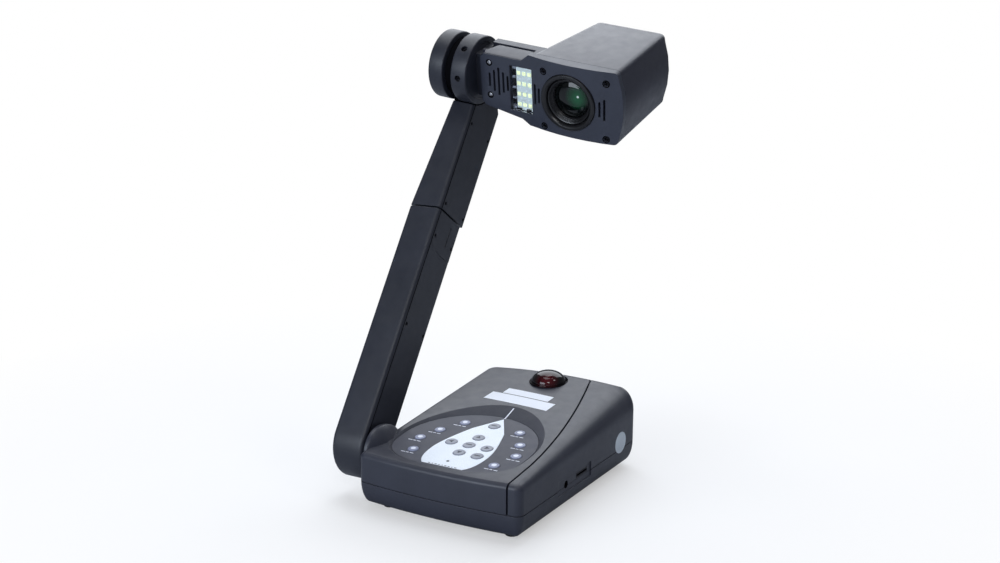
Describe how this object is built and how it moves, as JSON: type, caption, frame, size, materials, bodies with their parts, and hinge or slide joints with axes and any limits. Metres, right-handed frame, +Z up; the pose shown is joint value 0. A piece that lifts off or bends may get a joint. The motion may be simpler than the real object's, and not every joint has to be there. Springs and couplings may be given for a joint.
{
  "type": "document camera",
  "caption": "Desktop document camera: sloping base with sunken keypad, folding arm that swivels at its elbow, and a tilting head with lens and lamp board.",
  "frame": {"origin": "middle of the footprint of the whole object, on the table", "axes": "+X to the right of the keypad, +Y to the rear, +Z up"},
  "size_m": [0.2534, 0.377, 0.5134],
  "materials": {
    "housing": "satin moulded plastic, charcoal",
    "housing_dark": "satin moulded plastic, dark charcoal",
    "black_plastic": "semi-gloss black",
    "overlay": "printed membrane",
    "pale": "printed membrane, pale",
    "pale_key": "satin key tops",
    "receiver": "tinted infra-red window",
    "rubber": "matt",
    "steel": "bright",
    "brass": "bare",
    "board": "circuit board",
    "led_board": "white circuit board",
    "clear": "clear window",
    "glass": "coated lens glass"
  },
  "bodies": {
    "base": {"base_upper_shell": "housing", "base_lower_shell": "housing_dark", "control_overlay": "overlay", "teardrop_inlay": "pale", "side_cover": "housing", "receiver_dome": "receiver", "rear_port_plate": "black_plastic", "power_inlet": "black_plastic", "video_socket": "brass", "keypad_board": "board", "arm_pivot_bush": "brass", "audio_jack": "black_plastic", "main_board": "board", "front_left_foot": "rubber", "front_right_foot": "rubber", "rear_left_foot": "rubber", "rear_right_foot": "rubber", "usb_socket": "steel", "card_socket": "steel", "screen_socket": "steel"},
    "lower_arm": {"lower_arm_shell": "housing", "lower_arm_cover": "housing", "lower_arm_end_block": "housing", "arm_pivot_shaft": "steel", "arm_friction_washer": "black_plastic"},
    "upper_arm": {"upper_arm_shell": "housing", "upper_arm_cover": "housing", "swivel_shaft": "steel", "swivel_washer": "black_plastic", "swivel_nut": "steel", "hinge_tongue": "black_plastic"},
    "camera_head": {"hinge_knob": "housing", "hinge_hub": "housing", "hinge_pin": "steel", "face_plate": "housing", "neck_rear_cover": "housing", "head_shell": "housing", "lens_bezel": "black_plastic", "lens_tube": "black_plastic", "lens_glass": "glass", "zoom_module": "black_plastic", "camera_board": "board", "lamp_window": "clear", "lamp_board": "led_board"},
    "menu_key_body": {"menu_key": "pale_key"},
    "up_key_body": {"up_key": "pale_key"},
    "left_key_body": {"left_key": "pale_key"},
    "enter_key_body": {"enter_key": "pale_key"},
    "right_key_body": {"right_key": "pale_key"},
    "down_key_body": {"down_key": "pale_key"},
    "return_key_body": {"return_key": "pale_key"},
    "capture_key_body": {"capture_key": "pale_key"},
    "zoom_key_body": {"zoom_key": "pale_key"},
    "rotate_key_body": {"rotate_key": "pale_key"},
    "focus_key_body": {"focus_key": "pale_key"},
    "source_key_body": {"source_key": "pale_key"},
    "lamp_key_body": {"lamp_key": "pale_key"},
    "power_key_body": {"power_key": "pale_key"},
    "freeze_key_body": {"freeze_key": "pale_key"}
  },
  "joints": [
    {"name": "arm_fold", "type": "hinge", "parent": "base", "child": "lower_arm", "pos_m": [-0.07333, -0.14546, 0.0575], "axis": [1, 0, 0], "range_deg": [-56, 40]},
    {"name": "arm_swivel", "type": "hinge", "parent": "lower_arm", "child": "upper_arm", "pos_m": [-0.09718, 0.00838, 0.29169], "axis": [0, 0.549, 0.8358], "range_deg": [-90, 90]},
    {"name": "head_tilt", "type": "hinge", "parent": "upper_arm", "child": "camera_head", "pos_m": [-0.09703, 0.07198, 0.46228], "axis": [0.9882, 0, -0.153], "range_deg": [-110, 90]},
    {"name": "menu_key_press", "type": "slide", "parent": "base", "child": "menu_key_body", "axis": [0, 0.1033, -0.9946], "range_m": [0, 0.0008], "stiffness_N_per_m": 900},
    {"name": "up_key_press", "type": "slide", "parent": "base", "child": "up_key_body", "axis": [0, 0.1033, -0.9946], "range_m": [0, 0.0008], "stiffness_N_per_m": 900},
    {"name": "left_key_press", "type": "slide", "parent": "base", "child": "left_key_body", "axis": [0, 0.1033, -0.9946], "range_m": [0, 0.0008], "stiffness_N_per_m": 900},
    {"name": "enter_key_press", "type": "slide", "parent": "base", "child": "enter_key_body", "axis": [0, 0.1033, -0.9946], "range_m": [0, 0.0008], "stiffness_N_per_m": 900},
    {"name": "right_key_press", "type": "slide", "parent": "base", "child": "right_key_body", "axis": [0, 0.1033, -0.9946], "range_m": [0, 0.0008], "stiffness_N_per_m": 900},
    {"name": "down_key_press", "type": "slide", "parent": "base", "child": "down_key_body", "axis": [0, 0.1033, -0.9946], "range_m": [0, 0.0008], "stiffness_N_per_m": 900},
    {"name": "return_key_press", "type": "slide", "parent": "base", "child": "return_key_body", "axis": [0, 0.1033, -0.9946], "range_m": [0, 0.0008], "stiffness_N_per_m": 900},
    {"name": "capture_key_press", "type": "slide", "parent": "base", "child": "capture_key_body", "axis": [0, 0.1033, -0.9946], "range_m": [0, 0.0008], "stiffness_N_per_m": 900},
    {"name": "zoom_key_press", "type": "slide", "parent": "base", "child": "zoom_key_body", "axis": [0, 0.1033, -0.9946], "range_m": [0, 0.0008], "stiffness_N_per_m": 900},
    {"name": "rotate_key_press", "type": "slide", "parent": "base", "child": "rotate_key_body", "axis": [0, 0.1033, -0.9946], "range_m": [0, 0.0008], "stiffness_N_per_m": 900},
    {"name": "focus_key_press", "type": "slide", "parent": "base", "child": "focus_key_body", "axis": [0, 0.1033, -0.9946], "range_m": [0, 0.0008], "stiffness_N_per_m": 900},
    {"name": "source_key_press", "type": "slide", "parent": "base", "child": "source_key_body", "axis": [0, 0.1033, -0.9946], "range_m": [0, 0.0008], "stiffness_N_per_m": 900},
    {"name": "lamp_key_press", "type": "slide", "parent": "base", "child": "lamp_key_body", "axis": [0, 0.1033, -0.9946], "range_m": [0, 0.0008], "stiffness_N_per_m": 900},
    {"name": "power_key_press", "type": "slide", "parent": "base", "child": "power_key_body", "axis": [0, 0.1033, -0.9946], "range_m": [0, 0.0008], "stiffness_N_per_m": 900},
    {"name": "freeze_key_press", "type": "slide", "parent": "base", "child": "freeze_key_body", "axis": [0, 0.1033, -0.9946], "range_m": [0, 0.0008], "stiffness_N_per_m": 900}
  ]
}
